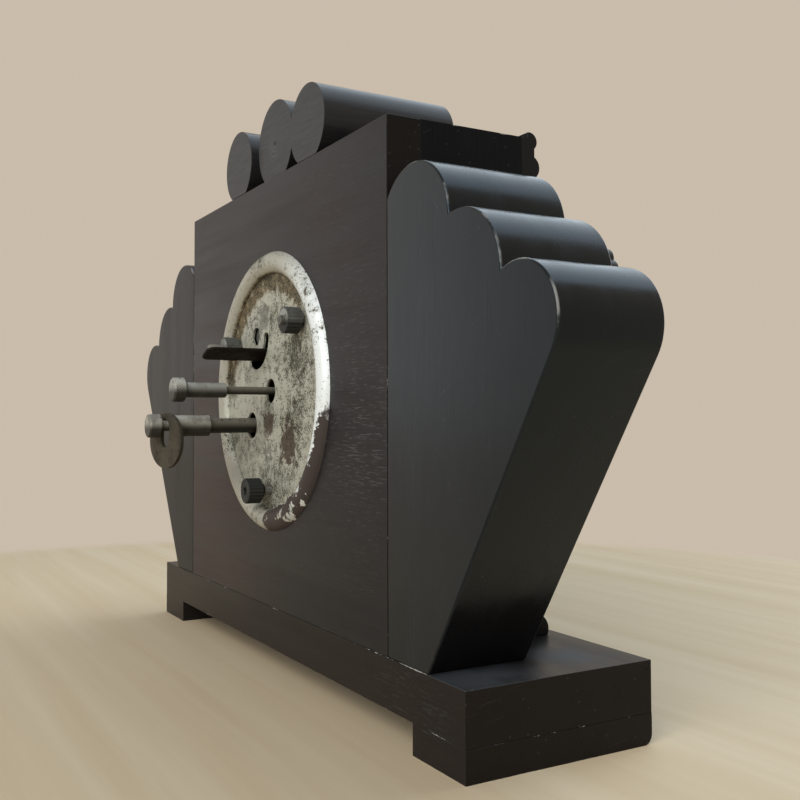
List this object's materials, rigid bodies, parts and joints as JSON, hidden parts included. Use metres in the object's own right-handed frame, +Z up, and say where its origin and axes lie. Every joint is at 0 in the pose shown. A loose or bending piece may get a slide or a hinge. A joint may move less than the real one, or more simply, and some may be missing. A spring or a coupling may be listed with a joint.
{
  "type": "table clock",
  "caption": "Wound mantel clock in an ebonised stepped wooden case with fan wings, rods on top, plated back cover and working gear train.",
  "frame": {"origin": "centre of the bounding box on the table plane, under the feet", "axes": "+X to the right seen from the dial side, +Y to the back (cover and keys), +Z up"},
  "size_m": [0.3382, 0.1046, 0.2141],
  "materials": {
    "base_wood": "ebonised, satin, worn pale along the edges",
    "back_wood": "ebonised, satin, fine grain and scratches",
    "side_wood": "ebonised, satin",
    "front_wood": "ebonised, satin, moulded",
    "wing_wood": "ebonised, satin, worn on the lobes",
    "rod_wood": "ebonised, end grain behind",
    "ornament_wood": "ebonised, carved",
    "joinery_wood": "bare",
    "cover_metal": "plated, pitted and brown in patches",
    "nut_metal": "plated, knurled, tarnished",
    "stud_steel": "dull",
    "screw_steel": "dull",
    "set_steel": "grey patina",
    "key_steel": "grey patina",
    "ring_steel": "grey brown patina",
    "lever_steel": "dark patina",
    "movement_steel": "ground",
    "plate_brass": "brushed",
    "wheel_brass": "turned",
    "spring_steel": "blued",
    "dial_paint": "silvered cream, plain numbers",
    "hand_paint": "black lacquer",
    "bezel_brass": "lacquered, aged",
    "clear_glass": "clear, flat"
  },
  "bodies": {
    "case": {"back_board": "back_wood", "back_cover": "cover_metal", "back_plate": "plate_brass", "base_board": "base_wood", "base_screws": "screw_steel", "bearing_screws": "screw_steel", "bezel": "bezel_brass", "case_floor": "side_wood", "case_side_left": "side_wood", "case_side_right": "side_wood", "case_top": "side_wood", "click_screw": "screw_steel", "click_spring": "spring_steel", "cover_studs": "stud_steel", "dial_face": "dial_paint", "dial_pillars": "plate_brass", "dial_plate": "plate_brass", "foot_left": "base_wood", "foot_right": "base_wood", "front_board": "front_wood", "front_plate": "plate_brass", "glass": "clear_glass", "hairspring": "spring_steel", "hairspring_stud": "screw_steel", "minute_stud": "screw_steel", "plate_pillars": "plate_brass", "rod_dowels": "joinery_wood", "rod_left": "rod_wood", "rod_middle": "rod_wood", "rod_right": "rod_wood", "rosette_left": "ornament_wood", "rosette_right": "ornament_wood", "spacer_ring": "plate_brass", "thumb_nuts": "nut_metal", "wing_dowels": "joinery_wood", "wing_left": "wing_wood", "wing_right": "wing_wood"},
    "hand_setting": {"centre_arbor": "set_steel", "set_knob": "set_steel", "cannon_pinion": "movement_steel", "minute_hand": "hand_paint"},
    "hour_work": {"hour_wheel": "wheel_brass", "hour_hand": "hand_paint"},
    "minute_work": {"minute_wheel": "wheel_brass"},
    "centre_train": {"centre_wheel": "wheel_brass"},
    "going_barrel": {"barrel": "wheel_brass", "barrel_cap": "wheel_brass", "mainspring": "spring_steel"},
    "third_train": {"third_wheel": "wheel_brass"},
    "escape_train": {"escape_wheel": "wheel_brass"},
    "lever": {"pallet_lever": "movement_steel"},
    "balance": {"balance_wheel": "wheel_brass"},
    "winder": {"winding_arbor": "key_steel", "ratchet_wheel": "movement_steel", "winding_key": "key_steel"},
    "winding_pull": {"winding_ring": "ring_steel"},
    "pawl": {"click": "movement_steel"},
    "regulator_lever": {"regulator": "lever_steel"}
  },
  "joints": [
    {"name": "hand_set_turn", "type": "hinge", "parent": "case", "child": "hand_setting", "pos_m": [0, -0.00235, 0.104], "axis": [0, 1, 0], "continuous": true},
    {"name": "hour_turn", "type": "hinge", "parent": "case", "child": "hour_work", "pos_m": [0, -0.03345, 0.104], "axis": [0, 1, 0], "continuous": true},
    {"name": "minute_wheel_turn", "type": "hinge", "parent": "case", "child": "minute_work", "pos_m": [-0.00688, -0.03125, 0.09417], "axis": [0, 1, 0], "continuous": true},
    {"name": "centre_wheel_turn", "type": "hinge", "parent": "case", "child": "centre_train", "pos_m": [0, -0.02365, 0.104], "axis": [0, 1, 0], "continuous": true},
    {"name": "barrel_turn", "type": "hinge", "parent": "case", "child": "going_barrel", "pos_m": [0.01877, -0.00585, 0.09105], "axis": [0, 1, 0], "continuous": true},
    {"name": "third_wheel_turn", "type": "hinge", "parent": "case", "child": "third_train", "pos_m": [-0.01226, -0.01615, 0.11649], "axis": [0, 1, 0], "continuous": true},
    {"name": "escape_wheel_turn", "type": "hinge", "parent": "case", "child": "escape_train", "pos_m": [-0.00588, -0.01375, 0.13089], "axis": [0, 1, 0], "continuous": true},
    {"name": "lever_swing", "type": "hinge", "parent": "case", "child": "lever", "pos_m": [0.00204, -0.01215, 0.12876], "axis": [0, 1, 0], "range_deg": [-3, 3]},
    {"name": "balance_swing", "type": "hinge", "parent": "case", "child": "balance", "pos_m": [0.0146, -0.00775, 0.1254], "axis": [0, 1, 0], "range_deg": [-140, 140], "stiffness_Nm_per_rad": 0.00008},
    {"name": "winding_turn", "type": "hinge", "parent": "case", "child": "winder", "pos_m": [0.01877, -0.00235, 0.09105], "axis": [0, 1, 0], "continuous": true},
    {"name": "winding_ring_rock", "type": "hinge", "parent": "winder", "child": "winding_pull", "pos_m": [0.01877, 0.0451, 0.09105], "axis": [0, 0, 1], "range_deg": [-28, 3]},
    {"name": "click_lift", "type": "hinge", "parent": "case", "child": "pawl", "pos_m": [0.01677, -0.00005, 0.07973], "axis": [0, 1, 0], "range_deg": [0, 12], "stiffness_Nm_per_rad": 0.0005},
    {"name": "regulator_shift", "type": "hinge", "parent": "case", "child": "regulator_lever", "pos_m": [0.0146, 0.00065, 0.1254], "axis": [0, 1, 0], "range_deg": [-15, 20]}
  ],
  "couplings": [
    {"joint": "minute_wheel_turn", "follows": "hand_set_turn", "ratio": -0.33333},
    {"joint": "hour_turn", "follows": "hand_set_turn", "ratio": 0.083333},
    {"joint": "barrel_turn", "follows": "centre_wheel_turn", "ratio": -0.1875},
    {"joint": "third_wheel_turn", "follows": "centre_wheel_turn", "ratio": -6},
    {"joint": "escape_wheel_turn", "follows": "centre_wheel_turn", "ratio": 36}
  ]
}
